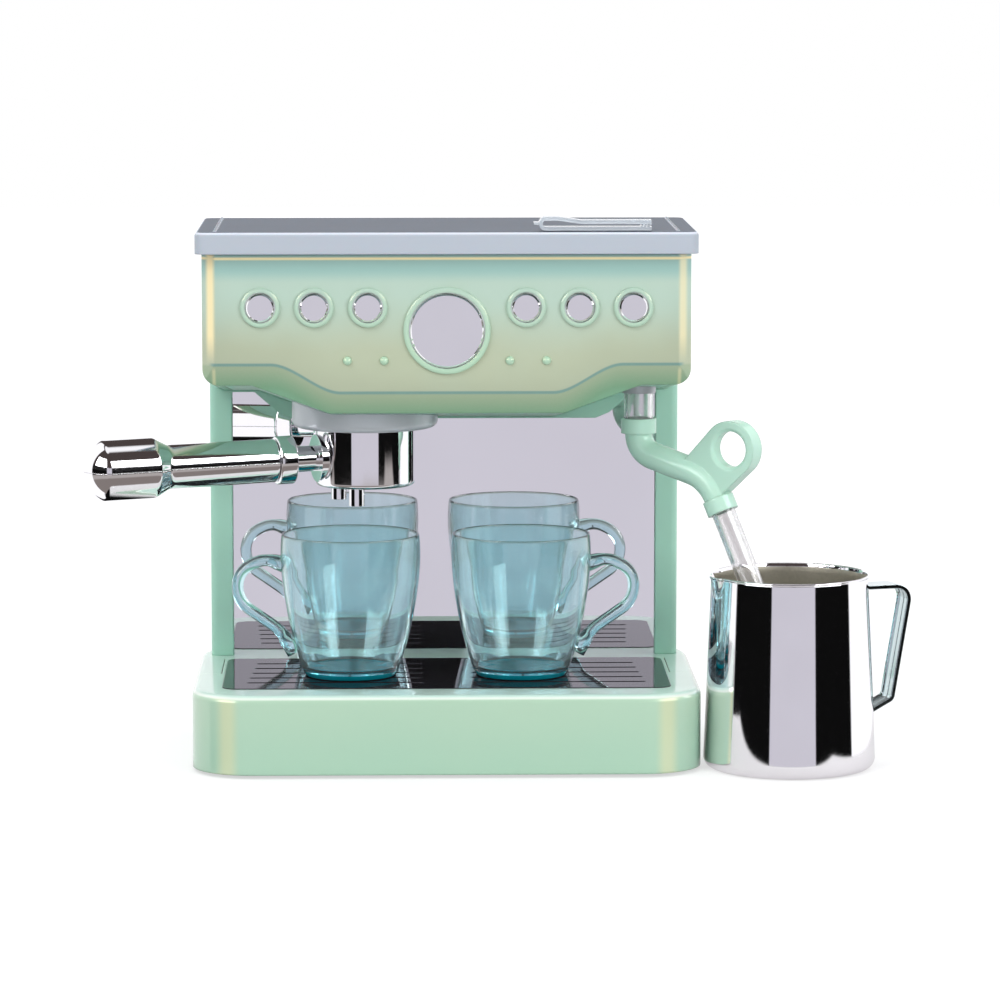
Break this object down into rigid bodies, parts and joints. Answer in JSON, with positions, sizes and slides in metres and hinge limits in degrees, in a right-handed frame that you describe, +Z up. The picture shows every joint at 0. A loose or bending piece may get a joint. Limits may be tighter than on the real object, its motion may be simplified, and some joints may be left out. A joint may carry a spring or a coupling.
{
  "type": "toy coffee maker",
  "caption": "Toy espresso machine with turning filter holder, swivelling steam wand, press buttons, pull-out drip tray, lift-off lid, clear mugs, milk pitcher and tongs.",
  "frame": {"origin": "centre of the base's flat underside, above the feet's soles by the height that they stand proud", "axes": "+X to the machine's right as seen from the front, +Y to the back, +Z up"},
  "size_m": [0.3583, 0.1562, 0.2399],
  "materials": {
    "mint_shell": "pearl gloss",
    "mint_trim": "satin",
    "mirror_film": "polished",
    "dark_mirror": "polished",
    "chrome": "polished",
    "silver_plastic": "satin",
    "frosted_lid": "frosted",
    "aqua_clear": "clear",
    "clear_plastic": "clear",
    "rubber_foot": "matte",
    "screw_steel": "zinc plated",
    "inner_black": "matte",
    "board_green": "solder mask",
    "cell_metal": "satin"
  },
  "bodies": {
    "machine": {"base_cover": "mint_trim", "feet": "rubber_foot", "base_shell": "mint_shell", "base_screws": "screw_steel", "column_frame": "mint_shell", "mirror_panel": "mirror_film", "rear_cover": "mint_shell", "rear_screws": "screw_steel", "battery_box": "inner_black", "batteries": "cell_metal", "battery_door": "mint_shell", "speaker": "inner_black", "head_shell": "mint_shell", "head_floor": "mint_trim", "circuit_board": "board_green", "switches": "inner_black", "button_rings": "mint_trim", "main_button_ring": "mint_trim", "pilot_studs": "mint_trim", "group_collar": "silver_plastic", "group_screen": "silver_plastic", "wand_gland": "silver_plastic"},
    "drip_tray": {"drip_tray": "mint_shell", "tray_plate": "dark_mirror"},
    "mug_left": {"mug_left": "aqua_clear"},
    "mug_right": {"mug_right": "aqua_clear"},
    "pitcher": {"pitcher_body": "chrome", "pitcher_handle": "chrome"},
    "lid": {"lid": "frosted_lid"},
    "tongs": {"tongs": "clear_plastic"},
    "lock_ring": {"lock_ring": "inner_black"},
    "portafilter": {"filter_cup": "chrome", "pour_spouts": "chrome", "handle_ring": "chrome", "grip_upper": "chrome", "grip_lower": "chrome"},
    "wand": {"wand_upper_tube": "clear_plastic", "wand_elbow": "mint_trim", "wand_lower_tube": "clear_plastic"},
    "button_1": {"button_1": "chrome"},
    "button_2": {"button_2": "chrome"},
    "button_3": {"button_3": "chrome"},
    "button_4": {"button_4": "chrome"},
    "button_5": {"button_5": "chrome"},
    "button_6": {"button_6": "chrome"},
    "main_button": {"main_button": "chrome"}
  },
  "joints": [
    {"name": "tray_pull", "type": "slide", "parent": "machine", "child": "drip_tray", "axis": [0, -1, 0], "range_m": [0, 0.06]},
    {"name": "mug_left_slide", "type": "slide", "parent": "drip_tray", "child": "mug_left", "axis": [0, -1, 0], "range_m": [0, 0.1]},
    {"name": "mug_right_slide", "type": "slide", "parent": "drip_tray", "child": "mug_right", "axis": [0, -1, 0], "range_m": [0, 0.1]},
    {"name": "pitcher_leave", "type": "slide", "parent": "machine", "child": "pitcher", "axis": [0, 0, -1], "range_m": [0, 0.1]},
    {"name": "lid_lift", "type": "slide", "parent": "machine", "child": "lid", "axis": [0, 0, 1], "range_m": [0, 0.05]},
    {"name": "tongs_lift", "type": "slide", "parent": "lid", "child": "tongs", "axis": [0, 0, 1], "range_m": [0, 0.05]},
    {"name": "portafilter_turn", "type": "hinge", "parent": "machine", "child": "lock_ring", "pos_m": [-0.0352, -0.0155, 0.1446], "axis": [0, 0, 1], "range_deg": [-8, 72]},
    {"name": "portafilter_drop", "type": "slide", "parent": "lock_ring", "child": "portafilter", "axis": [0, 0, -1], "range_m": [0, 0.012]},
    {"name": "wand_swivel", "type": "hinge", "parent": "machine", "child": "wand", "pos_m": [0.0844, -0.0145, 0.141], "axis": [0, 0, 1], "range_deg": [-5, 24]},
    {"name": "button_1_press", "type": "slide", "parent": "machine", "child": "button_1", "axis": [0, 1, 0], "range_m": [0, 0.0015], "stiffness_N_per_m": 400},
    {"name": "button_2_press", "type": "slide", "parent": "machine", "child": "button_2", "axis": [0, 1, 0], "range_m": [0, 0.0015], "stiffness_N_per_m": 400},
    {"name": "button_3_press", "type": "slide", "parent": "machine", "child": "button_3", "axis": [0, 1, 0], "range_m": [0, 0.0015], "stiffness_N_per_m": 400},
    {"name": "button_4_press", "type": "slide", "parent": "machine", "child": "button_4", "axis": [0, 1, 0], "range_m": [0, 0.0015], "stiffness_N_per_m": 400},
    {"name": "button_5_press", "type": "slide", "parent": "machine", "child": "button_5", "axis": [0, 1, 0], "range_m": [0, 0.0015], "stiffness_N_per_m": 400},
    {"name": "button_6_press", "type": "slide", "parent": "machine", "child": "button_6", "axis": [0, 1, 0], "range_m": [0, 0.0015], "stiffness_N_per_m": 400},
    {"name": "main_button_press", "type": "slide", "parent": "machine", "child": "main_button", "axis": [0, 1, 0], "range_m": [0, 0.0025], "stiffness_N_per_m": 400}
  ]
}
